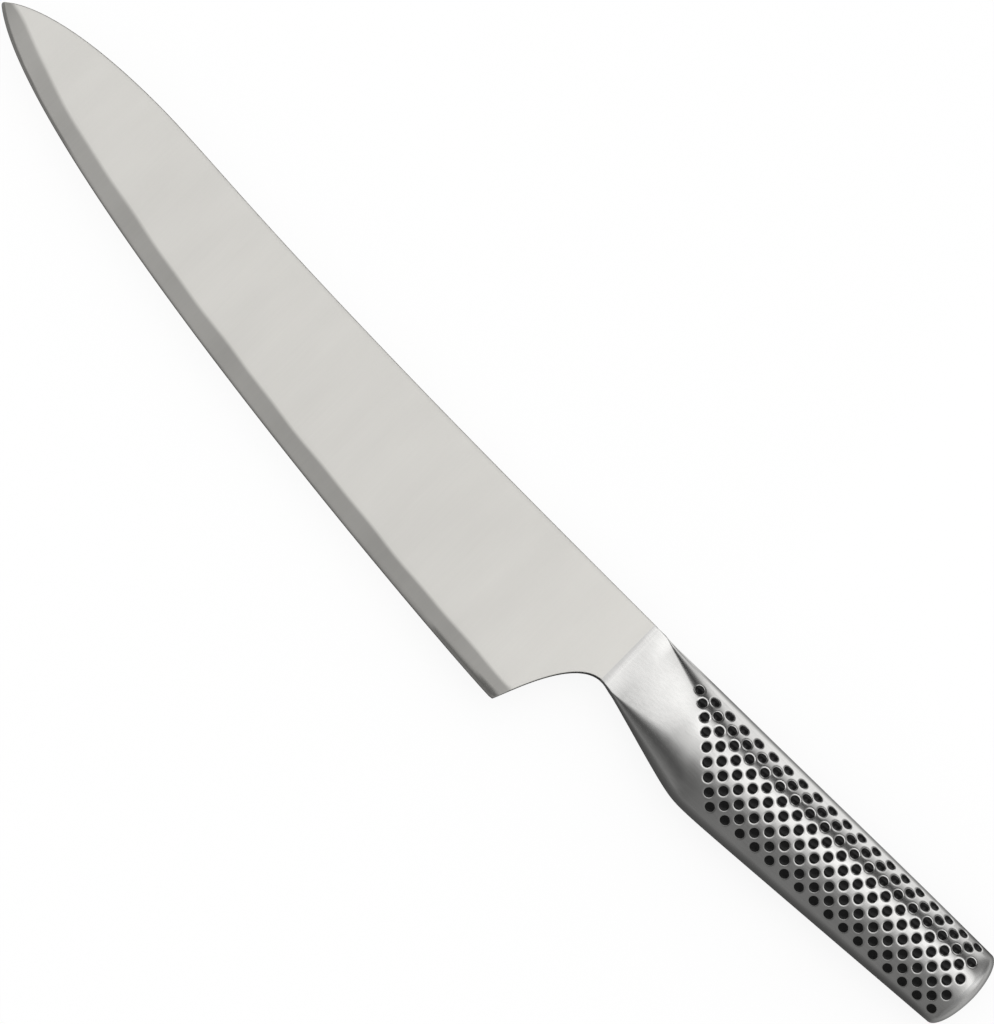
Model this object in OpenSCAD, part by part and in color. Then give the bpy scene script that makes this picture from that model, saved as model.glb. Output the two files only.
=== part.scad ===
// Carving knife of welded stainless steel: a long curved blade with a hollow handle.
// The handle is two pressed half shells, dimpled for grip and part filled with sand.
// Drawn flat on its side in millimetres: tip at -X, butt at +X, spine at +Y, edge at -Y.

/* [Blade outline] */
// Length of the blade from the tip to the heel corner
blade_len = 209.5; // [180:0.5:240]
// Distance along the knife from the heel corner to the neck weld
choil_run = 16.5; // [14:0.5:22]
// Depth of the blade at the heel, below the spine line
heel_depth = 43.1; // [36:0.1:50]
// Depth of the tip below the spine line
tip_drop = 5.4; // [4:0.1:8]
// Height of the blunt end of the tip
tip_blunt = 1.4; // [0.6:0.1:2.4]
// How far the nose of the tip stands ahead of its blunt end
tip_nose = 0.4; // [0.2:0.1:1]
// Angle at which the spine and the edge leave the tip
tip_angle = 39; // [30:1:48]
// Length of the tip curve's pull on the spine side
tip_pull = 11.7; // [8:0.1:16]
// Distance from the tip to the highest point of the spine
crown_x = 45; // [36:0.5:60]
// Height of the spine's highest point above the spine line
crown_rise = 4.4; // [2:0.1:7]
// Pull of the spine curve ahead of its highest point
crown_front_pull = 16; // [10:0.5:22]
// Pull of the spine curve behind its highest point
crown_back_pull = 21.5; // [12:0.5:30]
// Distance from the heel corner back to where the spine runs straight
spine_level_x = 4.5; // [0:0.5:20]
// Pull of the spine curve where it runs out straight
spine_level_pull = 117; // [90:1:130]
// Pull of the cutting edge's curve at the tip
edge_tip_pull = 37.6; // [28:0.2:48]
// Pull of the cutting edge's curve at the heel
edge_heel_pull = 12; // [6:0.5:30]
// Angle at which the heel rises from the corner
heel_angle = 69; // [60:1:80]
// Pull of the heel curve at the corner
heel_pull = 7.3; // [4:0.1:10]
// Pull of the heel curve where it runs into the neck
choil_pull = 8.4; // [5:0.1:11]

/* [Blade thickness] */
// Thickness at the spine beside the neck weld
spine_thick = 2.2; // [1.8:0.1:3]
// Thickness at the spine line above the tip
tip_thick = 1.3; // [1:0.1:1.7]
// Thickness of the flat face at the depth of the heel
heel_thick = 1.6; // [1.3:0.1:1.8]
// Width of the ground edge bevel on each face
bevel_w = 5.2; // [3:0.1:6]
// Thickness left at the cutting edge
edge_thick = 0.16; // [0.1:0.02:0.3]
// Length of the tongue that enters the handle
tongue_len = 14; // [8:0.5:20]
// Height of the tongue
tongue_h = 12; // [8:0.5:14]
// Thickness of the tongue
tongue_thick = 1; // [0.8:0.1:1.2]

/* [Handle] */
// Length of the handle from the neck weld to the butt
handle_len = 121.5; // [105:0.5:135]
// Height of the neck at the weld
neck_h = 19.9; // [17:0.1:23]
// Depth of the belly at its widest, below the spine line
belly_depth = 28.9; // [26:0.1:32]
// Distance from the neck weld to the widest part of the belly
belly_x = 36; // [32:0.5:42]
// Depth of the belly line at the butt, below the spine line
butt_depth = 22; // [19:0.1:25]
// How far the handle's back rises to the butt
butt_rise = 1.3; // [0:0.1:3]
// Angle at which the belly line falls away from the neck
flare_angle = 16.2; // [14:0.1:19]
// Rounding of the belly at its widest
belly_round = 1.6; // [0.8:0.1:3]
// Thickness of the full handle section at the neck end
front_thick = 17.7; // [15:0.1:20]
// Thickness of the full handle section at the butt
butt_thick = 14.6; // [12:0.1:17]
// Angle of the flat plane on each side of the neck
neck_angle = 16.7; // [14:0.1:20]
// Sharpness of the ridge where the flat plane runs out
ridge_sharp = 6; // [4:1:14]
// Crown of the neck's plane across its width
neck_crown = 0.0045; // [0:0.0005:0.008]
// Hollow of the neck's plane along its length
neck_hollow = 0.0035; // [0:0.0005:0.006]
// Distance from the neck weld at which that hollow ends
hollow_end = 24.8; // [20:0.2:30]
// Rounding of the neck's back and belly at the weld
corner_r = 0.15; // [0.1:0.05:0.5]
// Distance from the neck weld at which that rounding starts to widen
corner_start = 3.4; // [2:0.1:5]
// How much it widens for each millimetre along the neck
corner_spread = 0.42; // [0.3:0.01:0.5]
// Length of the neck over which it widens
corner_run = 22; // [16:1:30]
// Length of the domed end of the butt
butt_dome = 4; // [3:0.1:6]
// Length over which the handle's sides curve in to the butt
side_dome = 8; // [5:0.1:10]
// Wall of the pressed shells
shell_wall = 1.2; // [1:0.05:1.5]

/* [Welds and closing parts] */
// Width of the weld at the neck
neck_weld_w = 1.2; // [0.8:0.1:2]
// Depth of the seam welds along the spine and the belly
seam_depth = 0.6; // [0.4:0.05:0.8]
// Half width of the seam welds at the surface
seam_half_w = 0.4; // [0.3:0.05:0.6]
// Length of the butt cap's outer part
cap_len = 2.5; // [2:0.1:3]
// Width of the weld between the shells and the butt cap
butt_weld_w = 0.6; // [0.4:0.1:1]
// Length of the spigot that centres the cap in the shells
spigot_len = 6; // [4:0.5:10]
// Radius of the hole through which the sand is poured
fill_hole_r = 2.5; // [2:0.1:3]
// Gap left between parts that slide together
fit_gap = 0.05; // [0.03:0.01:0.1]
// Gap between the loose sand and the metal round it
sand_gap = 0.15; // [0.1:0.05:0.3]
// Depth of the sand's surface below the middle plane
sand_level = 1; // [0.7:0.1:3]
// Distance from the neck weld to the front of the sand
sand_front = 13; // [12:0.5:20]

/* [Grip dimples] */
// Rows of dimples on each side
dimple_rows = 9; // [7:2:9]
// Spacing of the rows, measured round the handle
row_pitch = 2.7; // [2.5:0.05:2.75]
// Spacing of the dimples along a row
dimple_pitch = 4.98; // [4.6:0.01:5.6]
// Distance from the neck weld to the first dimple of the top row
dimple_start = 18.7; // [17:0.1:22]
// How much later each lower row starts
row_stagger = 2.78; // [2.4:0.01:3]
// Distance from the butt end to the last place for a dimple's centre
dimple_end = 5.5; // [4.8:0.1:8]
// Width of a dimple at the surface
dimple_w = 3; // [2.4:0.1:3.2]
// Width of a dimple's floor
dimple_floor_w = 1.8; // [1.2:0.1:2.2]
// Depth of a dimple
dimple_depth = 0.6; // [0.4:0.05:0.8]
// How far the enamel lies below the surface
enamel_drop = 0.15; // [0.1:0.05:0.3]
// How far the rows droop towards the belly at the front
row_droop = 1.7; // [0:0.1:2.5]
// Distance from the neck weld at which that droop is measured
droop_x = 24; // [20:0.5:30]
// Length over which the droop dies away
droop_fade = 10; // [6:0.5:16]
// How far the middle row's dimples stand towards the butt, against the outer rows
dimple_bow = 1; // [0:0.1:1.5]
// Number of dimples over which that grows from the front
bow_run = 6; // [3:1:10]

/* [Smoothness] */
// Straight lengths in each curve of the outline
curve_steps = 20; // [12:2:28]
// Facets across one shell's outside
arc_steps = 20; // [16:4:24]
// Sides of each dimple
dimple_sides = 6; // [6:1:8]
// Spacing of the sections in the neck
neck_step = 2; // [1.5:0.5:3]
// Spacing of the sections in the straight body
body_step = 5; // [4:1:8]

/* [Hidden] */

// Colours of the finishes
blade_colour = [0.80, 0.79, 0.77];
shell_colour = [0.72, 0.72, 0.71];
weld_colour = [0.62, 0.62, 0.61];
sand_colour = [0.76, 0.68, 0.52];
enamel_colour = [0.05, 0.05, 0.05];

// The neck weld's place, and the whole length from tip to butt
weld_x = blade_len + choil_run;
knife_len = weld_x + handle_len;

// Slopes of the blade's flat faces, which are true planes
taper_along = (spine_thick - tip_thick) / 2 / weld_x;
taper_down = (spine_thick - heel_thick) / 2 / heel_depth;

// Room for a cutting tool to stand clear of what it cuts
clear = 10;

// A point on a cubic curve with two end points and two pulls
function curve(p, q, r, s, t) =
    pow(1 - t, 3) * p + 3 * pow(1 - t, 2) * t * q + 3 * (1 - t) * t * t * r + pow(t, 3) * s;
function curve_points(p, q, r, s) =
    [for (i = [0 : curve_steps]) curve(p, q, r, s, i / curve_steps)];
function towards(angle, length) = length * [cos(angle), sin(angle)];

// The spine from the tip to its highest point, and on to where it runs straight
spine_tip = [tip_nose, -tip_drop + tip_blunt / 2];
crown = [crown_x, crown_rise];
spine_level = [blade_len - spine_level_x, 0];
spine_front = curve_points(spine_tip, spine_tip + towards(tip_angle, tip_pull),
    crown - [crown_front_pull, 0], crown);
spine_back = curve_points(crown, crown + [crown_back_pull, 0],
    spine_level - [spine_level_pull, 0], spine_level);

// The cutting edge from the tip to the heel corner, and the heel up to the neck
edge_tip = [tip_nose, -tip_drop - tip_blunt / 2];
heel = [blade_len, -heel_depth];
edge = curve_points(edge_tip, edge_tip + towards(-tip_angle, edge_tip_pull),
    heel - [edge_heel_pull, 0], heel);
neck_foot = [weld_x, -neck_h];
choil = curve_points(heel, heel + towards(heel_angle, heel_pull),
    neck_foot - [choil_pull, 0], neck_foot);

// Half the blade's thickness at a place on its face
function face_half(x, y) =
    spine_thick / 2 - taper_along * (weld_x - x) + taper_down * y;

// The lesser and the greater of two sizes, with a rounded changeover
function round_min(a, b, r) = (a + b - sqrt((a - b) * (a - b) + r * r)) / 2;
function round_max(a, b, r) = (a + b + sqrt((a - b) * (a - b) + r * r)) / 2;
function ease(t) = let (k = min(max(t, 0), 1)) k * k * (3 - 2 * k);

// The handle's back and belly lines at a distance from the neck weld
flare_round = 0.5;
function back_y(s) = butt_rise * ease(s / handle_len);
function belly_y(s) =
    let (flare = round_max(neck_h, neck_h + tan(flare_angle) * (s - neck_weld_w), flare_round),
        fall = (belly_depth - butt_depth) / (handle_len - belly_x),
        body = belly_depth - fall * (s - belly_x))
    -round_min(flare, body, belly_round);

// How the section shrinks over the domed butt, in height and in thickness
dome_blunt = 3;
nearly_whole = 0.9999;
function dome_run(s, length) = min(max((s - handle_len + length) / length, 0), nearly_whole);
function dome_height(s) = sqrt(1 - pow(dome_run(s, butt_dome), 2));
function dome_thick(s) = pow(1 - pow(dome_run(s, side_dome), dome_blunt), 1 / dome_blunt);

// The section's middle, half height and half thickness
function mid_y(s) = (back_y(s) + belly_y(s)) / 2;
function half_h(s) = (back_y(s) - belly_y(s)) / 2 * dome_height(s);
function half_t(s) =
    (front_thick + (butt_thick - front_thick) * s / handle_len) / 2 * dome_thick(s);

// Height of the neck's flat plane above the middle plane
function plane_z(s, y) =
    face_half(weld_x, y) + tan(neck_angle) * round_max(0, s - neck_weld_w, flare_round / 2);

// The same plane with its crown and its hollow
crown_run = 6;
function neck_z(s, y) = plane_z(s, y)
    - neck_crown * ease((s - neck_weld_w) / crown_run) * pow(y - mid_y(s), 2)
    + neck_hollow * max(s - neck_weld_w, 0) * (s - hollow_end);

// The share of the neck's height that its rounded back and belly leave
least_share = 0.000001;
function rounded(near) = 1 - pow(1 - min(max(near, 0), 1), 2);
function corner(s, y) =
    let (width = corner_r + corner_spread * min(max(s - corner_start, 0), corner_run))
    sqrt(max(rounded((back_y(s) - y) / width) * rounded((y - belly_y(s)) / width), least_share));

// A point on the handle's outside, or on a face set in from it, at an angle round the section
function skin(s, a, inset) =
    let (y = mid_y(s) + (half_h(s) - inset) * cos(a),
        full = (half_t(s) - inset) * sin(a),
        flat = neck_z(s, y) * corner(s, y),
        low = inset > 0 ? max(flat - inset, tongue_thick / 2 + fit_gap) : flat)
    [weld_x + s, y, full * low / pow(pow(full, ridge_sharp) + pow(low, ridge_sharp), 1 / ridge_sharp)];

// Where the shells begin and end, and the sections between
shell_from = neck_weld_w / 2;
cap_from = handle_len - cap_len;
shell_to = cap_from - butt_weld_w;
body_from = belly_x + 10;
end_step = 0.8;
shell_stations = concat(
    [for (s = [shell_from : neck_step : body_from - 1]) s],
    [for (s = [body_from : body_step : shell_to - 5 * end_step]) s],
    [for (i = [3 : -1 : 0]) shell_to - i * end_step]);

// The angle round the section where a seam weld's edge lies
function seam_angle(s) = asin(min(seam_half_w / half_t(s), 1));

// One section of the left shell: outside, seam land, inside, seam land
function shell_section(s) =
    let (a = seam_angle(s), step = (180 - 2 * a) / arc_steps, in_step = 180 / (arc_steps - 4),
        m = mid_y(s), h = half_h(s), x = weld_x + s)
    concat([for (i = [0 : arc_steps]) skin(s, a + i * step, 0)],
        [[x, m - h + seam_depth, 0]],
        [for (i = [0 : arc_steps - 4]) skin(s, 180 - i * in_step, shell_wall)],
        [[x, m + h - seam_depth, 0]]);

// A closed section of the whole handle, set in by a given amount
function full_section(s, inset) =
    let (step = 180 / arc_steps, up = [for (i = [0 : arc_steps]) skin(s, i * step, inset)])
    concat(up, [for (i = [arc_steps - 1 : -1 : 1]) [up[i][0], up[i][1], -up[i][2]]]);

// A seam weld's section: one edge, its crown, its other edge and its root
function seam_section(s, side) =
    let (a = side > 0 ? seam_angle(s) : 180 - seam_angle(s), p = skin(s, a, 0),
        x = weld_x + s, m = mid_y(s), h = half_h(s))
    [[x, p[1], -side * p[2]], [x, m + side * h, 0], [x, p[1], side * p[2]],
        [x, m + side * (h - seam_depth), 0]];

// Triangles that join a row of equal sections into one closed skin
function skin_faces(rows, n) = concat(
    [for (i = [0 : rows - 2], j = [0 : n - 1])
        let (a = i * n + j, b = i * n + (j + 1) % n) [a, b + n, b]],
    [for (i = [0 : rows - 2], j = [0 : n - 1])
        let (a = i * n + j, b = i * n + (j + 1) % n) [a, a + n, b + n]],
    [[for (j = [0 : n - 1]) j]],
    [[for (j = [n - 1 : -1 : 0]) (rows - 1) * n + j]]);

module loft(sections) {
    n = len(sections[0]);
    points = [for (section = sections, p = section) p];
    polyhedron(points, skin_faces(len(sections), n), convexity = 8);
}

// Lays the knife on the ground, with the middle of its box over the origin
function lowest(points) = min([for (p = points) p[1]]);
function highest(points) = max([for (p = points) p[1]]);
box_low = min(lowest(edge), min([for (s = shell_stations) belly_y(s)]));
box_high = max(highest(spine_front), max([for (s = shell_stations) back_y(s)]));
mid_z = max([for (s = shell_stations) skin(s, 90, 0)[2]]);

module lay_down() {
    translate([-knife_len / 2, -(box_low + box_high) / 2, mid_z]) children();
}

// The place and the outward direction of each dimple on the left shell, row by row
mid_row = (dimple_rows - 1) / 2;
walk_steps = 12;
function droop(s) = row_droop * exp(-(s - droop_x) / droop_fade);
function walk(s, a, step, n) =
    n == 0 ? a : walk(s, a - step / norm([half_h(s) * sin(a), half_t(s) * cos(a)]) * 180 / PI,
        step, n - 1);
function row_angle(row, s) =
    walk(s, 90, ((mid_row - row) * row_pitch - droop(s)) / walk_steps, walk_steps);
function skin_normal(s, a) =
    let (u = skin(s, a - 1, 0) - skin(s, a + 1, 0), v = skin(s + 0.2, a, 0) - skin(s - 0.2, a, 0),
        w = cross(v, u))
    w / norm(w);
last_dimple = handle_len - dimple_end;
function bow(row, n) =
    dimple_bow * (1 - pow((row - mid_row) / mid_row, 2)) * min(n / bow_run, 1);
dimple_places = [for (row = [0 : dimple_rows - 1])
    let (from = dimple_start + row * row_stagger, count = floor((last_dimple - from) / dimple_pitch))
        for (n = [0 : count])
            let (s = from + n * dimple_pitch + bow(row, n), a = row_angle(row, s))
            [skin(s, a, 0), skin_normal(s, a)]];

module at_dimple(place) {
    n = place[1];
    translate(place[0]) rotate([0, acos(n[2]), atan2(n[1], n[0])]) children();
}

// Punch that presses a dimple: a blunt cone that stands out of the skin
module dimple_punch() {
    floor_skin = 0.006;
    side_slope = (dimple_w - dimple_floor_w) / dimple_depth;
    hull() {
        translate([0, 0, -dimple_depth])
            cylinder(h = floor_skin, d = dimple_floor_w, $fn = dimple_sides);
        cylinder(h = dimple_depth, d1 = dimple_w, d2 = dimple_w + dimple_depth * side_slope,
            $fn = dimple_sides);
    }
}

module blade_outline() {
    polygon(concat([[0, -tip_drop]], spine_front, spine_back,
        [[weld_x, 0]], [for (i = [curve_steps : -1 : 0]) choil[i]],
        [for (i = [curve_steps - 1 : -1 : 0]) edge[i]]));
}

// Block that takes off everything above one flat face of the blade
module above_face() {
    lean = -atan(taper_along);
    tilt = atan(taper_down * cos(lean));
    translate([weld_x, 0, spine_thick / 2]) rotate([tilt, lean, 0])
        translate([-weld_x - clear, -heel_depth - clear, 0])
            cube([weld_x + 2 * clear, heel_depth + crown_rise + 2 * clear, clear]);
}

// Wedge that grinds the bevel along one face, following the cutting edge past both ends
module bevel_wedge() {
    lead = towards(-tip_angle, tip_blunt + tip_nose);
    path = concat([edge[0] - lead], edge, [edge[curve_steps] + [choil_run / 4, 0]]);
    last = len(path) - 1;
    reach = 0.5;
    loft([for (i = [0 : last])
        let (d = path[min(i + 1, last)] - path[max(i - 1, 0)],
            inward = [-d[1], d[0]] / norm(d), p = path[i], q = p + bevel_w * inward,
            top = face_half(q[0], q[1]), low = edge_thick / 2, rise = (top - low) / bevel_w,
            a = p - 1 * inward, b = q + reach * inward)
        [[a[0], a[1], low - rise], [b[0], b[1], top + reach * rise],
            [b[0], b[1], spine_thick], [a[0], a[1], spine_thick]]]);
}

module tongue(gap) {
    translate([weld_x - neck_weld_w / 2, mid_y(0) - tongue_h / 2 - gap, -tongue_thick / 2 - gap])
        cube([tongue_len, tongue_h + 2 * gap, tongue_thick + 2 * gap]);
}

module blade() {
    color(blade_colour) lay_down() union() {
        difference() {
            linear_extrude(spine_thick, center = true) blade_outline();
            for (side = [0, 1]) mirror([0, 0, side]) {
                above_face();
                bevel_wedge();
            }
            translate([weld_x - neck_weld_w / 2, -neck_h - clear, -clear])
                cube([clear, neck_h + 2 * clear, 2 * clear]);
        }
        tongue(0);
    }
}

module neck_weld() {
    color(weld_colour) lay_down() difference() {
        translate([weld_x - neck_weld_w / 2, -neck_h, -spine_thick / 2])
            cube([neck_weld_w, neck_h, spine_thick]);
        for (side = [0, 1]) mirror([0, 0, side]) above_face();
        tongue(0);
    }
}

module shell() {
    difference() {
        loft([for (s = shell_stations) shell_section(s)]);
        for (place = dimple_places) at_dimple(place) dimple_punch();
    }
}

module handle_shell_left() {
    color(shell_colour) lay_down() shell();
}

module handle_shell_right() {
    color(shell_colour) lay_down() mirror([0, 0, 1]) shell();
}

// Enamel that fills the floor of every dimple on one side
module dimple_fill() {
    flat = cos(180 / dimple_sides);
    top_w = dimple_w - (dimple_w - dimple_floor_w) * enamel_drop / dimple_depth;
    for (place = dimple_places) at_dimple(place) translate([0, 0, -dimple_depth])
        cylinder(h = dimple_depth - enamel_drop, d1 = flat * dimple_floor_w, d2 = flat * top_w,
            $fn = 24);
}

module left_dimple_enamel() {
    color(enamel_colour) lay_down() dimple_fill();
}

module right_dimple_enamel() {
    color(enamel_colour) lay_down() mirror([0, 0, 1]) dimple_fill();
}

module spine_seam_weld() {
    color(weld_colour) lay_down() loft([for (s = shell_stations) seam_section(s, 1)]);
}

module belly_seam_weld() {
    color(weld_colour) lay_down() loft([for (s = shell_stations) seam_section(s, -1)]);
}

// Solid of the whole handle section between two distances from the neck weld
module handle_bar(from, to, steps, inset) {
    loft([for (i = [0 : steps]) full_section(from + (to - from) * i / steps, inset)]);
}

module butt_weld() {
    reach = 1;
    color(weld_colour) lay_down() difference() {
        handle_bar(shell_to, cap_from, 2, 0);
        handle_bar(shell_to - reach, cap_from + reach, 4, shell_wall);
    }
}

// The cap's dome, whose sections close up towards the end of the butt
module cap_dome() {
    last_turn = 88;
    first_turn = asin((cap_from - handle_len + butt_dome) / butt_dome);
    turns = 8;
    loft([for (i = [0 : turns])
        full_section(handle_len - butt_dome
            + butt_dome * sin(first_turn + (last_turn - first_turn) * i / turns), 0)]);
}

module fill_hole(radius) {
    translate([weld_x + cap_from - spigot_len - clear, mid_y(cap_from), 0])
        rotate([0, 90, 0]) cylinder(h = spigot_len + cap_len + 2 * clear, r = radius, $fn = 48);
}

module butt_cap() {
    inset = shell_wall + fit_gap;
    color(shell_colour) lay_down() difference() {
        union() {
            cap_dome();
            translate([weld_x + cap_from - spigot_len, mid_y(cap_from), 0])
                rotate([90, 0, 90]) linear_extrude(spigot_len)
                    polygon([for (i = [0 : 2 * arc_steps - 1])
                        let (a = i * 180 / arc_steps)
                        [(half_h(cap_from) - inset) * cos(a), (half_t(cap_from) - inset) * sin(a)]]);
        }
        fill_hole(fill_hole_r);
    }
}

module filler_plug() {
    color(weld_colour) lay_down() intersection() {
        fill_hole(fill_hole_r - fit_gap);
        cap_dome();
    }
}

module balance_sand() {
    from = sand_front;
    to = cap_from - spigot_len - sand_gap;
    color(sand_colour) lay_down() intersection() {
        handle_bar(from, to, 16, shell_wall + sand_gap);
        translate([weld_x, -belly_depth - clear, -front_thick])
            cube([handle_len, belly_depth + 2 * clear, front_thick - sand_level]);
    }
}

blade();
handle_shell_left();
handle_shell_right();
butt_cap();
filler_plug();
balance_sand();
neck_weld();
spine_seam_weld();
belly_seam_weld();
butt_weld();
left_dimple_enamel();
right_dimple_enamel();
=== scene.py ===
import math

import bpy
import numpy as np
from mathutils import Matrix, Vector


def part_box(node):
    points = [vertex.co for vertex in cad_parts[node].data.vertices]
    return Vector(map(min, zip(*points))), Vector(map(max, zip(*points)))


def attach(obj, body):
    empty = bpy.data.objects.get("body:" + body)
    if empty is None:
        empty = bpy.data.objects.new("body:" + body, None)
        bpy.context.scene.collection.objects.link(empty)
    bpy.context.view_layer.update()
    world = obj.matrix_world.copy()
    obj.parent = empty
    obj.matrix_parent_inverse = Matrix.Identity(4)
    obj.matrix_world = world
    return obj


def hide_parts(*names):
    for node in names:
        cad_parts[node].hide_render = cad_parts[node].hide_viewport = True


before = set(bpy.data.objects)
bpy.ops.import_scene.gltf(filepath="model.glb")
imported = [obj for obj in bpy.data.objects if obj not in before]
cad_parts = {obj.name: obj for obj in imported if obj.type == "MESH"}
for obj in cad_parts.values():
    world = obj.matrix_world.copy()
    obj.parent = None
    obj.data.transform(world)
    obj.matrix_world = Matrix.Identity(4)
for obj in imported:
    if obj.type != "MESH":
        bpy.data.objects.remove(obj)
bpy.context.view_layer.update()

# Camera: a long lens that looks down on the left face from 14.6 degrees to the edge's side of upright.
# The knife runs down the picture from the top left corner at 45 degrees, as in the photograph.
mm = 0.001
tip_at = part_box("blade")[0].x / mm
spine_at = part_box("blade")[1].y / mm - 4.4
mid_at = (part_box("blade")[0].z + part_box("blade")[1].z) / 2 / mm
lens_lean = math.radians(14.6)
lens_distance = 2.5
picture_height = 0.256
sensor = 36
aim = Vector(((tip_at + 177.5) * mm, (spine_at - 8.06) * mm, mid_at * mm))
across_knife = Vector((0, math.cos(lens_lean), math.sin(lens_lean)))
along_knife = Vector((1, 0, 0))
to_lens = along_knife.cross(across_knife)
picture_right = (along_knife + across_knife).normalized()
picture_up = (across_knife - along_knife).normalized()
lens = bpy.data.cameras.new("lens")
lens.sensor_width = sensor
lens.lens = sensor * lens_distance / picture_height
camera = bpy.data.objects.new("camera", lens)
bpy.context.scene.collection.objects.link(camera)
turn = Matrix((picture_right, picture_up, to_lens)).transposed()
camera.matrix_world = Matrix.Translation(aim + to_lens * lens_distance) @ turn.to_4x4()
bpy.context.scene.camera = camera
bpy.context.scene.view_settings.view_transform = "Standard"


# Studio: an even white tent over a pale floor. Inside it stand cards that only the metal sees: a shaded
# arch over the knife, a card that closes its far end beyond the butt, and a shaded strip on the floor.
class Wire:
    """One output of a node. Sums and products of wires add the nodes that work them out."""

    def __init__(self, tree, out=None):
        self.tree, self.out = tree, out

    def node(self, kind, settings, sockets, output=0):
        made = self.tree.nodes.new(kind)
        for name, value in settings.items():
            setattr(made, name, value)
        for name, value in sockets.items():
            if isinstance(value, Wire):
                self.tree.links.new(value.out, made.inputs[name])
            else:
                made.inputs[name].default_value = value
        return Wire(self.tree, made.outputs[output])

    def math(self, operation, *values):
        return self.node("ShaderNodeMath", {"operation": operation}, dict(enumerate(values)))

    def __add__(self, other):
        return self.math("ADD", self, other)

    def __sub__(self, other):
        return self.math("SUBTRACT", self, other)

    def __rsub__(self, other):
        return self.math("SUBTRACT", other, self)

    def __mul__(self, other):
        return self.math("MULTIPLY", self, other)

    __radd__ = __add__
    __rmul__ = __mul__

    def between(self, low, high):
        """This wire's place from low to high, as 0 to 1 with soft ends."""
        return self.node("ShaderNodeMapRange", {"interpolation_type": "SMOOTHSTEP"},
                         {"Value": self, "From Min": low, "From Max": high})

    def shade(self, dark, light):
        """The colour from dark to light that this wire picks."""
        return self.node("ShaderNodeMix", {"data_type": "RGBA"},
                         {0: self, 6: (*dark, 1), 7: (*light, 1)}, 2)

    def grain(self, spacing, detail=3):
        """Noise whose grains have these sizes in millimetres along X, Y and Z."""
        place = self.node("ShaderNodeVectorMath", {"operation": "MULTIPLY"},
                          {0: self, 1: [1 / (size * mm) for size in spacing]})
        return self.node("ShaderNodeTexNoise", {}, {"Vector": place, "Scale": 1, "Detail": detail})


def finish_of(name, sockets, make=None):
    """A material: its shader's own values, and what make adds from a place on the knife."""
    material = bpy.data.materials.new(name)
    material.use_nodes = True
    tree = material.node_tree
    shader = tree.nodes["Principled BSDF"]
    for socket, value in sockets.items():
        shader.inputs[socket].default_value = value
    if make:
        place = Wire(tree).node("ShaderNodeTexCoord", {}, {}, "Object")
        for socket, wire in make(place).items():
            tree.links.new(wire.out, shader.inputs[socket])
    return material


def add_mesh(name, points, faces, material):
    mesh = bpy.data.meshes.new(name)
    mesh.from_pydata(points, [], faces)
    mesh.materials.append(material)
    thing = bpy.data.objects.new(name, mesh)
    bpy.context.scene.collection.objects.link(thing)
    return thing


def from_above(lean, away):
    """A place at a distance from the knife, at an angle from straight above towards the spine."""
    return Vector((0, math.sin(math.radians(lean)), math.cos(math.radians(lean)))) * away


world = bpy.data.worlds.new("tent")
world.use_nodes = True
world.node_tree.nodes["Background"].inputs["Color"].default_value = (1, 1, 1, 1)
bpy.context.scene.world = world

floor_half, floor_glow = 4, 0.875


def floor_finish(place):
    """White card. Most of its white is its own, so that the knife's shadow on it stays faint."""
    camera_ray, glossy_ray, through_ray = (
        place.node("ShaderNodeLightPath", {}, {}, f"Is {ray} Ray")
        for ray in ("Camera", "Glossy", "Transmission"))
    seen = camera_ray + glossy_ray + through_ray
    return {"Emission Color": seen.shade((0, 0, 0), (floor_glow, floor_glow, floor_glow))}


floor_paint = finish_of("floor_paint", {"Base Color": (0.12, 0.12, 0.12, 1), "Roughness": 0.8,
                                        "Specular IOR Level": 0.1, "Emission Strength": 1},
                        floor_finish)
floor = add_mesh("floor", [(-floor_half, -floor_half, 0), (floor_half, -floor_half, 0),
                           (floor_half, floor_half, 0), (-floor_half, floor_half, 0)],
                 [(0, 1, 2, 3)], floor_paint)


card_white = 2


def card_finish(place):
    tone = place.node("ShaderNodeAttribute", {"attribute_name": "tone"}, {}, "Fac")
    return {"Emission Color": tone.shade((0, 0, 0), (1, 1, 1))}


def add_card(name, places, tones):
    """A card that only the metal sees, as rows of places across it and the tone at each."""
    paint = finish_of(name, {"Base Color": (0, 0, 0, 1), "Specular IOR Level": 0,
                             "Emission Strength": card_white}, card_finish)
    rows, across = len(places), len(places[0])
    corners = [(i * across + j, i * across + j + 1, (i + 1) * across + j + 1, (i + 1) * across + j)
               for i in range(rows - 1) for j in range(across - 1)]
    card = add_mesh(name, [place for row in places for place in row], corners, paint)
    card.data.attributes.new("tone", "FLOAT", "POINT").data.foreach_set(
        "value", [tone / card_white for row in tones for tone in row])
    for ray in ("camera", "diffuse", "shadow"):
        setattr(card, f"visible_{ray}", False)


arch_lean = [-91, -80, -67, -58, -50, -43, -37, -30, -24, -18, -14, -9, -4, 1, 6, 11, 16, 21, 26,
             30, 33, 36, 39, 48, 51, 56, 62, 68, 74, 80, 86, 92, 97]
over_neck = [0.24, 0.2, 0.15, 0.11, 0.09, 0.09, 0.12, 0.19, 0.27, 0.36, 0.46, 0.58, 0.66, 0.71,
             0.75, 0.88, 1.12, 1.4, 1.16, 0.55, 0.35, 0.2, 0.1, 0.04, 0.05, 0.07, 0.1, 0.12, 0.12,
             0.12, 0.12, 0.12, 0.12]
over_front = [0.17, 0.16, 0.15, 0.15, 0.15, 0.15, 0.15, 0.16, 0.18, 0.22, 0.3, 0.46, 0.7,
              0.93, 1.1, 1.2, 1.27, 1.28, 1.26, 1.14, 0.8, 0.25, 0, 0.1, 0.5, 0.8, 0.95, 1.05, 1.1,
              1.1, 1, 0.9, 0.8]
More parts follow.
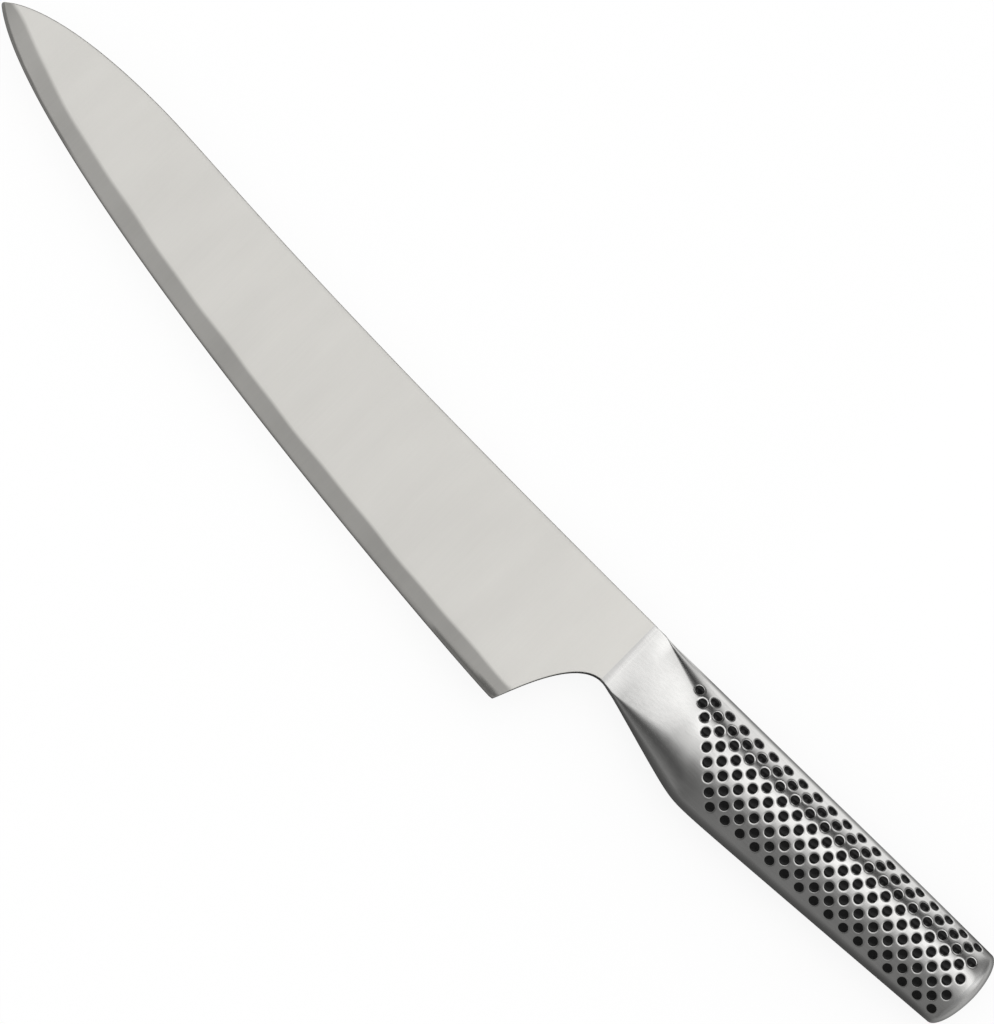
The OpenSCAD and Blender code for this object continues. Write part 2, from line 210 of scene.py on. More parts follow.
over_back = [0.19, 0.19, 0.185, 0.185, 0.185, 0.185, 0.185, 0.185, 0.19, 0.21, 0.25, 0.33, 0.45,
             0.66, 0.87, 1.06, 1.24, 1.3, 1.28, 1.18, 0.98, 0.6, 0, 0, 0.12, 0.3, 0.45, 0.75,
             0.98, 1, 0.95, 0.85, 0.75]
over_turn = [0.2, 0.2, 0.2, 0.2, 0.2, 0.2, 0.2, 0.2, 0.21, 0.22, 0.24, 0.28, 0.36, 0.5,
             0.68, 0.84, 1, 1.12, 1.14, 1.05, 0.85, 0.5, 0.15, 0.14, 0.2, 0.2, 0.22, 0.24, 0.24,
             0.24, 0.24, 0.24, 0.24]
over_butt = [0.17, 0.17, 0.17, 0.17, 0.18, 0.19, 0.2, 0.21, 0.22, 0.24, 0.26, 0.29, 0.34, 0.44,
             0.56, 0.7, 0.9, 1.1, 1.2, 1.18, 1.02, 0.75, 0.5, 0.42, 0.42, 0.38, 0.28, 0.2, 0.17,
             0.17, 0.17, 0.17, 0.17]
arch_r, arch_end = 1, 1.3
arch_x = [-arch_end, -0.8, -0.55, -0.4, -0.25, -0.1, -0.03, 0.06, 0.12, 0.2, 0.35, 0.9, arch_end]
arch_places = [[from_above(lean, arch_r) + Vector((x, 0, 0)) for x in arch_x]
               for lean in arch_lean]
arch_columns = [(over_neck, 1.5), (over_neck, 1.6), (over_neck, 1.04), (over_neck, 0.84),
                (over_neck, 1.1), (over_neck, 1.02), (over_back, 0.85), (over_front, 0.85),
                (over_front, 1.02), (over_back, 1.04), (over_turn, 1), (over_butt, 1),
                (over_butt, 1)]
arch_tones = [[tones[row] * gain for tones, gain in arch_columns] for row in range(len(arch_lean))]
add_card("tent_arch", arch_places, arch_tones)
end_y = [-1, -0.75, -0.4, -0.13, 0, 0.1, 0.22, 0.35, 0.45, 0.58, 0.72, 0.87, 1]
end_low = [0.22, 0.25, 0.28, 0.32, 0.36, 0.42, 0.52, 0.62, 0.7, 0.68, 0.6, 0.5, 0.4]
end_high = [0.18, 0.2, 0.22, 0.26, 0.3, 0.42, 0.6, 0.8, 0.98, 1.05, 0.85, 0.5, 0.4]
add_card("tent_end", [[(arch_end, y, height) for y in end_y] for height in (0, 0.6, 1)],
         [end_low, end_high, end_high])

strip_x = [0.03, 0.064, 0.074, 0.152, 0.168, 0.185, arch_end]
strip_fan = [-1.2, -0.14, -0.06, 0, 0.04, 0.35, 0]
strip_y = [-1, -0.25, -0.08, -0.035, -0.013, -0.002, 0.008, 0.021, 0.033, 0.045, 0.06, 0.3, 1]
strip_h = 0.0003
belly_side = [0.22, 0.2, 0.16, 0.12, 0.08, 0.07, 0.07]
by_neck = belly_side + [0.95, 0.95, 0.1, 0.1, 0.1, 0.12]
by_handle = belly_side + [0.12, 0.3, 0.6, 0.95, 1.1, 1.05]
by_rear = belly_side + [0.05, 0.1, 0.2, 0.32, 0.4, 0.35]
by_butt = [0.1, 0.14, 0.18, 0.22, 0.28, 0.36, 0.44, 0.48, 0.5, 0.5, 0.45, 0.25, 0.18]
add_card("floor_strip", [[(x + fan * abs(y), y, strip_h) for y in strip_y]
                         for x, fan in zip(strip_x, strip_fan)],
         [by_neck, by_neck, by_handle, by_handle, by_rear, by_butt, by_butt])

# Blade: one bar of stainless steel, forged, ground to a taper and satin finished across its length.
# Each face is flat down to a hand-ground bevel, and a narrower facet along the edge is whetted last.
# The blade ends in a tongue inside the handle, and its spine and heel are eased by hand.
blade_len, weld_x, weld_half = 209.5, 226.0, 0.6
tip_drop, tip_half, tip_nose = 5.4, 0.7, 0.4
crown, spine_level = np.array([45, 4.4]), np.array([205, 0.0])
heel_depth, neck_h = 43.1, 19.9
heel, neck_foot = np.array([blade_len, -heel_depth]), np.array([weld_x, -neck_h])
tip_angle, spine_tip_pull, edge_tip_pull, edge_heel_pull = 39, 11.7, 37.6, 12
crown_pull_in, crown_pull_out, spine_pull = 16, 21.5, 117
heel_angle, heel_pull, neck_pull, heel_corner_r = 69, 7.3, 8.4, 0.35
neck_half, tip_thinning, edge_thinning = 1.1, 0.45, 0.3
facet_least, facet_at_tip, facet_at_heel = 0.3, 0.6, 1.5
facet_tip_run, facet_heel_run, tip_narrowing, narrowing_run = 45, 24, 0.6, 5
edge_half, bevel_w, facet_slope, bevel_blend = 0.08, 5.2, 0.22, 0.5
tongue_len, tongue_half_h, tongue_half_t = 14, 6, 0.5
arris, foot_arris, arris_steps, most_eased, crease_r = 0.28, 0.2, 4, 0.15, 0.045


def curve(p, q, r, s, steps):
    """Points on a cubic curve with two end points and two pulls."""
    t = np.linspace(0, 1, steps)[:, None]
    return (1 - t) ** 3 * p + 3 * (1 - t) ** 2 * t * q + 3 * (1 - t) * t ** 2 * r + t ** 3 * s


def towards(angle, length):
    return length * np.array([math.cos(math.radians(angle)), math.sin(math.radians(angle))])


def round_min(a, b, r):
    """The lesser of two sizes, with a rounded changeover. A negative r gives the greater."""
    return (a + b - np.sign(r) * np.sqrt((a - b) ** 2 + r * r)) / 2


spine_tip = np.array([tip_nose, tip_half - tip_drop])
edge_tip = np.array([tip_nose, -tip_half - tip_drop])
spine_line = np.concatenate([
    curve(spine_tip, spine_tip + towards(tip_angle, spine_tip_pull), crown - [crown_pull_in, 0],
          crown, 400)[:-1],
    curve(crown, crown + [crown_pull_out, 0], spine_level - [spine_pull, 0], spine_level, 400),
    [[weld_x, 0]]])
edge_line = curve(edge_tip, edge_tip + towards(-tip_angle, edge_tip_pull),
                  heel - [edge_heel_pull, 0], heel, 500)
choil_line = curve(heel, heel + towards(heel_angle, heel_pull), neck_foot - [neck_pull, 0],
                   neck_foot, 200)
edge_way = np.concatenate([[edge_tip - towards(-tip_angle, 6)], edge_line, [heel + [16, 0]]])


def nose_line(x, side):
    return side * tip_half * np.sqrt(np.clip(x / tip_nose, 0, 1)) - tip_drop


def spine_y(x):
    return np.where(x < tip_nose, nose_line(x, 1), np.interp(x, *spine_line.T))


def foot_y(x):
    """The lower outline: the cutting edge, the eased heel corner and the heel's rise."""
    edge = np.where(x < tip_nose, nose_line(x, -1), np.interp(x, *edge_line.T))
    heel_slope = math.tan(math.radians(heel_angle))
    rise = np.where(x < blade_len, heel_slope * (x - blade_len) - heel_depth,
                    np.interp(x, *choil_line.T))
    return np.where(x < blade_len / 2, edge, round_min(edge, rise, -heel_corner_r))


def mid_line(x):
    return (spine_y(x) + foot_y(x)) / 2


def face_half(x, y):
    """Half the thickness between the two flat faces."""
    return neck_half - tip_thinning / weld_x * (weld_x - x) + edge_thinning / heel_depth * y


def off_edge(x, y):
    """How far a place is from the cutting edge's line."""
    a, b = edge_way[:-1], edge_way[1:]
    place = np.stack([x, y], -1)[..., None, :]
    along = np.clip(((place - a) * (b - a)).sum(-1) / ((b - a) ** 2).sum(-1), 0, 1)
    return np.linalg.norm(place - a - along[..., None] * (b - a), axis=-1).min(-1)


def facet_w(x):
    """Width of the whetted facet, which is widest at the heel."""
    tip_part = np.exp(-(x / facet_tip_run) ** 2)
    heel_part = np.exp(-(np.clip(blade_len - x, 0, None) / facet_heel_run) ** 1.5)
    return facet_least + facet_at_tip * tip_part + facet_at_heel * heel_part


def bevel_width(x):
    """Width of the bevel, which narrows to the tip and wanders a little, as when ground by hand."""
    at_tip = np.exp(-(np.clip(x, 0, None) / narrowing_run) ** 1.5)
    return bevel_w * (1 - tip_narrowing * at_tip) + 0.12 * np.sin(x / 7.3) + 0.08 * np.sin(x / 3.1 + 1)


def half_thick(x, y, off):
    """Half the blade's thickness: the least of the facet, the bevel and the flat face."""
    face = face_half(x, y)
    facet_top = edge_half + facet_slope * facet_w(x)
    bevel = facet_top + (face - facet_top) * (off - facet_w(x)) / (bevel_width(x) - facet_w(x))
    return np.minimum(edge_half + facet_slope * off, round_min(bevel, face, crease_r))


def offset_y(x, width):
    """The height at each x of a line at a distance inside the cutting edge."""
    run = np.gradient(edge_way, axis=0)
    inward = np.stack([-run[:, 1], run[:, 0]], 1) / np.linalg.norm(run, axis=1)[:, None]
    line = edge_way + inward * width(edge_way[:, 0])[:, None]
    return np.interp(x, *line.T)


nose_x = tip_nose * np.linspace(0.04, 1, 7) ** 2
edge_x = tip_nose + (blade_len - tip_nose) * np.linspace(0, 1, 300)[1:] ** 1.4
neck_x = np.interp(np.linspace(0, 1, 60)[1:], np.linspace(0, 1, len(choil_line)), choil_line[:, 0])
station = np.concatenate([nose_x, edge_x, neck_x[neck_x < weld_x - weld_half - 0.2],
                          [weld_x - weld_half]])
foot, top = foot_y(station), spine_y(station)
span = top - foot
foot_ease = np.minimum(foot_arris * np.hypot(1, np.gradient(foot, station)), most_eased * span)
top_ease = np.minimum(arris * np.hypot(1, np.gradient(top, station)), most_eased * span)
lines = [foot + foot_ease, offset_y(station, facet_w), offset_y(station, bevel_width),
         top - top_ease]
room = (lines[3] - lines[0]) / 20
lines[1] = np.clip(lines[1], lines[0] + room, lines[3] - 3 * room)
lines[2] = np.clip(lines[2], lines[1] + room, lines[3] - room)
lines.insert(3, lines[2] + np.minimum(bevel_blend, room / 2))
row_counts = [3, 12, 1, 22]
rows = [low + (high - low) * i / count for low, high, count in zip(lines, lines[1:], row_counts)
        for i in range(count)] + [lines[4]]
face_y = np.stack(rows, 1)
face_x = np.repeat(station[:, None], face_y.shape[1], 1)
face_z = half_thick(face_x, face_y, off_edge(face_x, face_y))
swing = np.linspace(0, math.pi / 2, arris_steps + 1)[:-1]
foot_r = 0.8 * np.minimum(face_z[:, :1], 0.25)
top_r = np.minimum(face_z[:, -1:] * 0.8, arris)
foot_arc_y = foot[:, None] + foot_ease[:, None] * (1 - np.cos(swing))
foot_arc_z = face_z[:, :1] - foot_r * (1 - np.sin(swing))
top_arc_y = (top[:, None] - top_ease[:, None] * (1 - np.cos(swing)))[:, ::-1]
top_arc_z = (face_z[:, -1:] - top_r * (1 - np.sin(swing)))[:, ::-1]
side_y = np.concatenate([foot_arc_y, face_y, top_arc_y], 1)
side_z = np.concatenate([foot_arc_z, face_z, top_arc_z], 1)
side_x = np.repeat(station[:, None], side_y.shape[1], 1)
blade_rows = np.concatenate([np.stack([side_x, side_y, side_z], -1),
                             np.stack([side_x, side_y, -side_z], -1)[:, ::-1]], 1)
tongue_y = np.linspace(-tongue_half_h, tongue_half_h, side_y.shape[1]) + neck_foot[1] / 2
tongue_z = np.full_like(tongue_y, tongue_half_t)
for tongue_x in (weld_x - weld_half, weld_x - weld_half + tongue_len):
    tongue_row = np.stack([np.full_like(tongue_y, tongue_x), tongue_y, tongue_z], -1)
    blade_rows = np.concatenate([blade_rows, [np.concatenate(
        [tongue_row, (tongue_row * [1, 1, -1])[::-1]])]])


def closed_skin(name, skins, material, creases=(), sharp_rows=(), ring=False):
    """Closed solids of equal loops, one array row a loop, smooth but for the lines named as sharp."""
    skins = np.asarray(skins, float)
    if skins.ndim == 3:
        skins = skins[None]
    solids, count, around = skins.shape[:3]
    points = skins.reshape(-1, 3) + [tip_at, spine_at, mid_at]
    here = np.arange(len(points)).reshape(solids, count, around)
    near, far = (here, np.roll(here, -1, 1)) if ring else (here[:, :-1], here[:, 1:])
    quads = np.stack([near, np.roll(near, -1, 2), np.roll(far, -1, 2), far], -1).reshape(-1, 4)
    faces = quads.tolist()
    if not ring:
        faces += here[:, 0, ::-1].tolist() + here[:, -1].tolist()
    a, b, c, d = (points[quads[:, k]] - points[0] for k in range(4))
    volume = (a * np.cross(b, c)).sum() + (a * np.cross(c, d)).sum()
    if not ring:
        for loop in np.concatenate([here[:, 0, ::-1], here[:, -1]]):
            p = points[loop] - points[0]
            volume += (p[0] * np.cross(p[1:-1], p[2:])).sum()
    if volume < 0:
        faces = [face[::-1] for face in faces]
    solid = add_mesh(name, points * mm, faces, material)
    mesh = solid.data
    ends = np.empty(len(mesh.edges) * 2, int)
    mesh.edges.foreach_get("vertices", ends)
    ends = ends.reshape(-1, 2)
    row, column = ends // around % count, ends % around
    sharp_row = list(sharp_rows) + ([] if ring else [0, count - 1])
    sharp = (row[:, 0] == row[:, 1]) & np.isin(row[:, 0], sharp_row)
    sharp |= (column[:, 0] == column[:, 1]) & np.isin(column[:, 0], list(creases))
    mesh.attributes.new("sharp_edge", "BOOLEAN", "EDGE").data.foreach_set("value", sharp)
    mesh.polygons.foreach_set("use_smooth", np.ones(len(mesh.polygons), bool))
    return solid


def blade_finish(place):
    """Fine lines across the blade, a bevel greyed partly by its grind and partly by painted shade,
    painted shade on the facet and eased edges, and a face that brightens to the neck.
    """
    along = place.node("ShaderNodeSeparateXYZ", {}, {"Vector": place}, "X")
    near_neck = along.between((tip_at + 185) * mm, (tip_at + weld_x) * mm)
    broad = place.grain((9, 30, 40), 2)
    lines = place.grain((0.55, 22, 22), 4)
    fine = place.grain((0.16, 6, 6), 2)
    # The bevel attribute carries painted shade: on the bevel beside its grind's own grey, on the
    # whetted facet, and on the spine and heel.
    bevel = place.node("ShaderNodeAttribute", {"attribute_name": "bevel"}, {}, "Fac")
    tone = broad * 0.11 + lines * 0.055 + near_neck * 0.07 + 0.725 - bevel * 0.48
    height = lines * 0.5 + fine * 0.5
    return {"Base Color": tone.shade((0.2, 0.196, 0.187), (0.96, 0.943, 0.899)),
            "Roughness": 0.38 + lines * 0.06 - bevel * 0.1,
            "Normal": place.node("ShaderNodeBump", {}, {"Strength": 0.08, "Distance": 0.01 * mm,
                                                        "Height": height})}


blade_steel = finish_of("ground_satin_steel", {"Metallic": 1}, blade_finish)
side_points = side_y.shape[1]
facet_line = arris_steps + row_counts[0]
blade = closed_skin("ground_blade", blade_rows, blade_steel,
                    creases=[facet_line, 2 * side_points - 1 - facet_line],
                    sharp_rows=[len(station) - 1, len(station)])
blade_off = off_edge(blade_rows[..., 0], blade_rows[..., 1])
blade_at, blade_up, blade_out = np.moveaxis(blade_rows, -1, 0)
# Painted shade in the blade's colour: the bevel greyer, partly for its coarser grind, and the whetted
# facet darker still.
bevel_and_painted_shade = np.clip((bevel_width(blade_at) - blade_off) / bevel_blend / 2 + 0.5, 0, 1)
bevel_and_painted_shade += np.clip((facet_w(blade_at) - blade_off) / 0.1 + 0.5, 0, 1) * 0.5
# The eased spine and the heel's rise get painted shade in their colour.
wall = np.abs(blade_out) < 0.99 * half_thick(blade_at, blade_up, blade_off)
spine_shade, foot_x, foot_shade = 0.5, [209, 210, 215, 222], [1.6, 0.6, 0.8, 1.6]
wall_shade = np.where(blade_up > mid_line(blade_at), spine_shade,
                      np.interp(blade_at, foot_x, foot_shade))
bevel_and_painted_shade = np.where(wall, wall_shade, bevel_and_painted_shade)
blade.data.attributes.new("bevel", "FLOAT", "POINT").data.foreach_set(
    "value", bevel_and_painted_shade.reshape(-1).astype(np.float32))
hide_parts("blade")
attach(blade, "root")

# Neck weld: a bead of the same steel right across the neck, ground flush with both faces.
# The blade's satin runs on over it to a slanting line, where the handle's finer polish begins.


def polish(place):
    """The handle's brushed polish, which gives way to the blade's satin at the neck.

    It doesn't reach into the dimples, whose walls stay dull and darken with depth, partly from the
    baked enamel and partly as painted shade."""
    along = place.node("ShaderNodeSeparateXYZ", {}, {"Vector": place}, "X")
    up = place.node("ShaderNodeSeparateXYZ", {}, {"Vector": place}, "Y")
    line_at = (tip_at + weld_x + 0.5) * mm
    polished = (along + up * 0.05).between(line_at - 0.5 * mm, line_at + 1.2 * mm)
    sunk = place.node("ShaderNodeAttribute", {"attribute_name": "sunk"}, {}, "Fac").between(0.1, 0.2)
    marks = place.grain((9, 0.5, 0.5), 4)
    cloud = place.grain((12, 7, 7), 2)
    # Painted shade: the dimple walls darken with depth, partly for the enamel on them.
    tone = (marks * 0.5 + cloud * 0.5).between(0.3, 0.7) * 0.12 + 0.88 - sunk * 0.72
    height = marks + cloud * 0.3
    return {"Base Color": tone.shade((0.02, 0.02, 0.02), (0.8, 0.795, 0.78)),
            "Roughness": 0.38 - polished * 0.22 + marks * 0.06 + sunk * 0.3,
            "Normal": place.node("ShaderNodeBump", {}, {"Strength": 0.08, "Distance": 0.01 * mm,
                                                        "Height": height})}


handle_steel = finish_of("polished_handle_steel", {"Metallic": 1}, polish)
blade_end = blade_rows[len(station) - 1]
neck_bead = closed_skin("neck_bead", [blade_end, blade_end + [2 * weld_half, 0, 0]], handle_steel)
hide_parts("neck_weld")
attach(neck_bead, "root")

# Handle shells: two half shells pressed from stainless sheet and welded along the spine and the belly.
# Each side is an oval cut by a flat plane that rises from the neck, and nine staggered rows of round
# dimples are pressed into it for grip. The rims of the dimples are rounded over by polishing.
handle_len, belly_depth, belly_x, belly_r = 121.5, 28.9, 36, 1.6
butt_depth, butt_rise, full_thick, butt_thinning = 22, 1.3, 17.7, 3.1
flare_angle, flare_r, plane_angle, plane_r = 16.2, 0.5, 16.7, 0.25
shell_from, shell_to, cap_from = weld_half, 118.4, 119.0
shell_wall, seam_depth, seam_half_w, fit_gap = 1.2, 0.6, 0.4, 0.05
butt_dome, side_dome, dome_blunt, ridge_sharp = 4, 8, 3, 6
corner_r, corner_start, corner_spread, corner_run = 0.15, 3.4, 0.42, 22
neck_crown, crown_run, neck_hollow, hollow_end = 0.0045, 6, 0.0035, 24.8
dimple_rows, row_pitch, dimple_pitch = 9, 2.7, 4.98
first_dimple, row_lag, dimple_end, dimple_bow, bow_run = 18.7, 2.78, 5.5, 1.0, 6
row_droop, droop_from, droop_run = 1.7, 24, 10
rim_r, rim_fall, pit_depth, floor_r = 1.72, 0.6, 0.62, 0.1


def eased(s, low, high):
    k = np.clip((s - low) / (high - low), 0, 1)
    return k * k * (3 - 2 * k)


def back_y(s):
    return butt_rise * eased(s, 0, handle_len)


def belly_y(s):
    flare = math.tan(math.radians(flare_angle)) * (s - 2 * weld_half)
    flare = round_min(neck_h, neck_h + flare, -flare_r)
    fall = (belly_depth - butt_depth) / (handle_len - belly_x)
    return -round_min(flare, belly_depth - fall * (s - belly_x), belly_r)


def mid_y(s):
    return (back_y(s) + belly_y(s)) / 2


def dome_run(s, length):
    return np.clip((s - handle_len + length) / length, 0, 0.9999)


def half_h(s):
    return (back_y(s) - belly_y(s)) / 2 * np.sqrt(1 - dome_run(s, butt_dome) ** 2)


def half_t(s):
    full = (full_thick - butt_thinning * s / handle_len) / 2
    return full * (1 - dome_run(s, side_dome) ** dome_blunt) ** (1 / dome_blunt)


def plane_z(s, y):
    rise = round_min(0, s - 2 * weld_half, -plane_r)
    return face_half(weld_x, y) + math.tan(math.radians(plane_angle)) * rise


def corner(s, y):
    """How far the neck's rounded back and belly bring its flat plane down, as a share of it."""
    width = corner_r + corner_spread * np.clip(s - corner_start, 0, corner_run)
    back = np.clip((back_y(s) - y) / width, 0, 1)
    belly = np.clip((y - belly_y(s)) / width, 0, 1)
    return np.sqrt(np.maximum((1 - (1 - back) ** 2) * (1 - (1 - belly) ** 2), 1e-6))


def skin(s, a, inset=0.0):
    """A place on the handle's outside, or set in from it, at an angle in radians round the section."""
    s, a = np.broadcast_arrays(s, a)
    y = mid_y(s) + (half_h(s) - inset) * np.cos(a)
    full = np.maximum((half_t(s) - inset) * np.sin(a), 1e-6)
    crowned = eased(s, 2 * weld_half, 2 * weld_half + crown_run)
    low = plane_z(s, y) - neck_crown * crowned * (y - mid_y(s)) ** 2
    low = low + neck_hollow * np.maximum(s - 2 * weld_half, 0) * (s - hollow_end)
    low = low * corner(s, y)
    if inset > 0:
        low = np.maximum(low - inset, tongue_half_t + fit_gap)
    z = full * low / (full ** ridge_sharp + low ** ridge_sharp) ** (1 / ridge_sharp)
    return np.stack([weld_x + s, y, z], -1)


def skin_normal(s, a):
    round_it = skin(s, a - 0.01) - skin(s, a + 0.01)
    along_it = skin(s + 0.1, a) - skin(s - 0.1, a)
    out = np.cross(along_it, round_it)
    return out / np.linalg.norm(out, axis=-1)[..., None]


def row_angle(row, s):
    """The angle round the section of a row of dimples, walked from the middle along the skin."""
    droop = row_droop * np.exp(-(s - droop_from) / droop_run)
    step = (((dimple_rows - 1) / 2 - row) * row_pitch - droop) / 12
    a = np.full_like(s, math.pi / 2)
    for _ in range(12):
        a = a - step / np.hypot(half_h(s) * np.sin(a), half_t(s) * np.cos(a))
    return a


dimple_s, dimple_a = [], []
for row in range(dimple_rows):
    s = np.arange(first_dimple + row * row_lag, handle_len - dimple_end, dimple_pitch)
    bow = dimple_bow * (1 - (2 * row / (dimple_rows - 1) - 1) ** 2)
    s = s + bow * np.minimum(np.arange(len(s)) / bow_run, 1)
    dimple_s.extend(s)
    dimple_a.extend(row_angle(row, s))
dimple_s, dimple_a = np.array(dimple_s), np.array(dimple_a)

shell_s = np.linspace(shell_from, shell_to, 536)
round_steps, inner_steps = 180, 16
seam_a = np.arcsin(np.minimum(seam_half_w / half_t(shell_s), 1))[:, None]
outer_a = seam_a + (math.pi - 2 * seam_a) * np.linspace(0, 1, round_steps + 1)
outer = skin(shell_s[:, None], outer_a)
out_way = skin_normal(shell_s[:, None], outer_a)
sunk = np.zeros(outer.shape[:2])
for centre, s in zip(skin(dimple_s, dimple_a), dimple_s):
    near = np.abs(shell_s - s) < rim_r
    reach = np.linalg.norm(outer[near] - centre, axis=-1)
    depth = rim_fall * np.clip(rim_r - reach, 0, None) ** 2
    sunk[near] = np.maximum(sunk[near], round_min(depth, pit_depth, floor_r))
outer = outer - out_way * sunk[..., None]
in_dimple = np.concatenate([sunk / pit_depth, np.zeros((len(shell_s), inner_steps + 3))], 1)
inner = skin(shell_s[:, None], np.linspace(math.pi, 0, inner_steps + 1)[None], shell_wall)
land_belly = np.stack([weld_x + shell_s, mid_y(shell_s) - half_h(shell_s) + seam_depth,
                       np.zeros_like(shell_s)], -1)[:, None]
land_spine = np.stack([weld_x + shell_s, mid_y(shell_s) + half_h(shell_s) - seam_depth,
                       np.zeros_like(shell_s)], -1)[:, None]
shell_rows = np.concatenate([outer, land_belly, inner, land_spine], 1)
shell_creases = [0, round_steps, round_steps + 1, round_steps + 2, round_steps + inner_steps + 2,
                 round_steps + inner_steps + 3]
for side, away in (("left", 1), ("right", -1)):
    shell = closed_skin(f"pressed_shell_{side}", shell_rows * [1, 1, away], handle_steel,
                        creases=shell_creases)
    # The sunk attribute darkens the dimple walls: partly the enamel on them, partly painted shade.
    shell.data.attributes.new("sunk", "FLOAT", "POINT").data.foreach_set(
        "value", in_dimple.reshape(-1).astype(np.float32))
    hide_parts(f"handle_shell_{side}")
    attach(shell, "root")

# Dimple enamel: black enamel wiped into the dimples and baked, so that each holds a shallow pool
# a little below its rim, drawn up where it wets the wall.
enamel_rings = [(0.03, 0.45), (0.3, 0.44), (0.6, 0.4), (0.85, 0.32), (1.02, 0.24),
                (1.17, 0.15), (1.3, 0.09), (1.1, 0.5)]
enamel_turn = np.linspace(0, 2 * math.pi, 33)[:-1]
ring_r = np.array([ring[0] for ring in enamel_rings])[None, :, None]
ring_drop = np.array([ring[1] for ring in enamel_rings])[None, :, None, None]
per_turn = np.hypot(half_h(dimple_s) * np.sin(dimple_a), half_t(dimple_s) * np.cos(dimple_a))
pool_s = dimple_s[:, None, None] + ring_r * np.cos(enamel_turn)
pool_a = dimple_a[:, None, None] + ring_r * np.sin(enamel_turn) / per_turn[:, None, None]
pools = skin(pool_s, pool_a) - skin_normal(pool_s, pool_a) * ring_drop


def enamel_finish(place):
    """Deep black with a slightly orange-peel gloss."""
    peel = place.grain((0.5, 0.5, 0.5), 2)
    return {"Base Color": peel.shade((0.004, 0.004, 0.004), (0.01, 0.01, 0.01)),
            "Roughness": 0.1 + peel * 0.12,
            "Normal": place.node("ShaderNodeBump", {}, {"Strength": 0.3, "Distance": 0.02 * mm,
                                                        "Height": peel})}


enamel = finish_of("baked_black_enamel", {"Specular IOR Level": 0.2}, enamel_finish)
for side, away in (("left", 1), ("right", -1)):
    fill = closed_skin(f"enamel_{side}", pools * [1, 1, away], enamel)
    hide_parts(f"{side}_dimple_enamel")
    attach(fill, "root")

# Seam welds: beads that join the two shells along the spine and the belly, ground flush with the
# skin and polished with it, so that only a slightly brighter line tells where they run.


def bead_finish(place):
    """Filler steel, polished with the handle but a little brighter and smoother."""
    ripple = place.grain((1.2, 2, 2), 3)
    return {"Base Color": ripple.shade((0.7, 0.7, 0.69), (0.77, 0.77, 0.76)),
            "Roughness": 0.2 + ripple * 0.12}


bead_steel = finish_of("flush_bead_steel", {"Metallic": 1}, bead_finish)
for place_name, edge_turn in (("spine", 0), ("belly", math.pi)):
    sweep = np.linspace(-1, 1, 7)
    bead_a = edge_turn + seam_a * sweep
    crown_skin = skin(shell_s[:, None], np.abs(bead_a) if edge_turn == 0
                      else math.pi - np.abs(bead_a - math.pi))
    crown_skin = crown_skin * np.where(sweep[None, :, None] < 0, [1, 1, -1], [1, 1, 1])
    root = land_spine if edge_turn == 0 else land_belly
    bead = closed_skin(f"{place_name}_bead", np.concatenate([crown_skin, root], 1), bead_steel,
                       creases=[0, 6, 7])
    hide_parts(f"{place_name}_seam_weld")
    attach(bead, "root")

# Butt weld: the bead round the handle between the shells and the end cap, also ground flush.
full_turn = np.linspace(0, 2 * math.pi, 361)[:-1]


def full_ring(s, inset=0.0):
    """A whole section of the handle, both sides."""
    half = skin(np.full_like(full_turn, s), np.where(full_turn > math.pi,
                                                     2 * math.pi - full_turn, full_turn), inset)
    return half * np.where(full_turn[:, None] > math.pi, [1, 1, -1], [1, 1, 1])


butt_rings = [full_ring(shell_to), full_ring((shell_to + cap_from) / 2), full_ring(cap_from),
              full_ring(cap_from, shell_wall), full_ring(shell_to, shell_wall)]
butt_bead = closed_skin("butt_bead", butt_rings, bead_steel, sharp_rows=[0, 2, 3, 4], ring=True)
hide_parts("butt_weld")
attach(butt_bead, "root")

# End cap: a stamped and machined cap with a low crowned end and a spigot that centres it in the shells.
# The hole in its middle is where the sand is poured in before the plug closes it.
hole_r, spigot_len = 2.5, 6
cap_mid = float(mid_y(np.array(cap_from)))


def on_dome(y, z):
    """The distance along the handle of the crowned end's surface over a place on its section."""
    low, high = np.full_like(y, cap_from), np.full_like(y, handle_len)
    for _ in range(40):
        s = (low + high) / 2
        inside = ((y - mid_y(s)) / half_h(s)) ** 2 + (z / half_t(s)) ** 2 < 1
        low, high = np.where(inside, s, low), np.where(inside, high, s)
    return low


def dome_ring(y, z):
    return np.stack([weld_x + on_dome(y, z), y, z], -1)


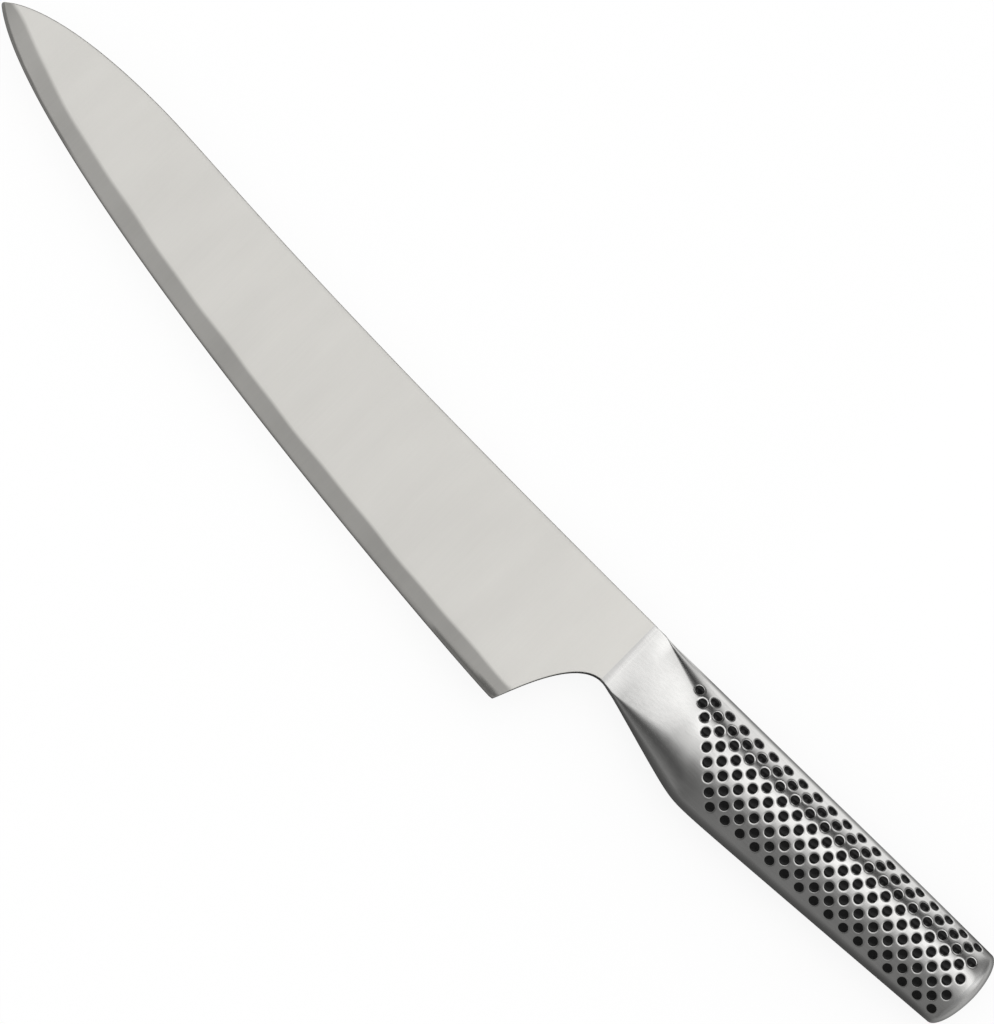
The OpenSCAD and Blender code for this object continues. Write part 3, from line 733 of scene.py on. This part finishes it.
rim = full_ring(cap_from)
hole_y = cap_mid + hole_r * np.cos(full_turn)
hole_z = hole_r * np.sin(full_turn)
cap_rings = [rim]
for k in np.linspace(0, 1, 37)[1:] ** 1.6:
    cap_rings.append(dome_ring(rim[:, 1] + (hole_y - rim[:, 1]) * k,
                               rim[:, 2] + (hole_z - rim[:, 2]) * k))
hole_foot = np.stack([np.full_like(hole_y, weld_x + cap_from - spigot_len), hole_y, hole_z], -1)
spigot_end = full_ring(cap_from, shell_wall + fit_gap) - [spigot_len, 0, 0]
cap_rings += [hole_foot, spigot_end, full_ring(cap_from, shell_wall + fit_gap)]
cap = closed_skin("end_cap", cap_rings, handle_steel,
                  sharp_rows=[0, len(cap_rings) - 4, len(cap_rings) - 3, len(cap_rings) - 2,
                              len(cap_rings) - 1], ring=True)
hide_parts("butt_cap")
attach(cap, "root")

# Filler plug: a turned steel pin driven into the fill hole and dressed to the crown of the cap.
plug_edge = 0.05
plug_rings = []
for share in (0.01, 0.25, 0.5, 0.75, 0.94, 1):
    plug_y = cap_mid + (hole_r - fit_gap) * share * np.cos(full_turn)
    plug_z = (hole_r - fit_gap) * share * np.sin(full_turn)
    plug_rings.append(dome_ring(plug_y, plug_z))
plug_rings[-1] = plug_rings[-1] - [plug_edge, 0, 0]
plug_foot = plug_rings[-1].copy()
plug_foot[:, 0] = weld_x + cap_from
plug = closed_skin("hole_plug", plug_rings + [plug_foot], bead_steel,
                   sharp_rows=[len(plug_rings) - 1])
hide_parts("filler_plug")
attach(plug, "root")

# Balance sand: dry fine sand that part fills the closed handle, level as the knife lies.


def sand_finish(place):
    """Grains of pale quartz with darker ones among them."""
    grains = place.grain((0.3, 0.3, 0.3), 1)
    patch = place.grain((6, 6, 6), 2)
    return {"Base Color": (grains * 0.8 + patch * 0.2).between(0.35, 0.65)
            .shade((0.55, 0.44, 0.3), (0.86, 0.79, 0.63)),
            "Normal": place.node("ShaderNodeBump", {}, {"Strength": 0.8, "Distance": 0.2 * mm,
                                                        "Height": grains})}


sand = finish_of("dry_sand", {"Roughness": 0.9}, sand_finish)
balance_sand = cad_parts["balance_sand"]
balance_sand.data.materials.clear()
balance_sand.data.materials.append(sand)
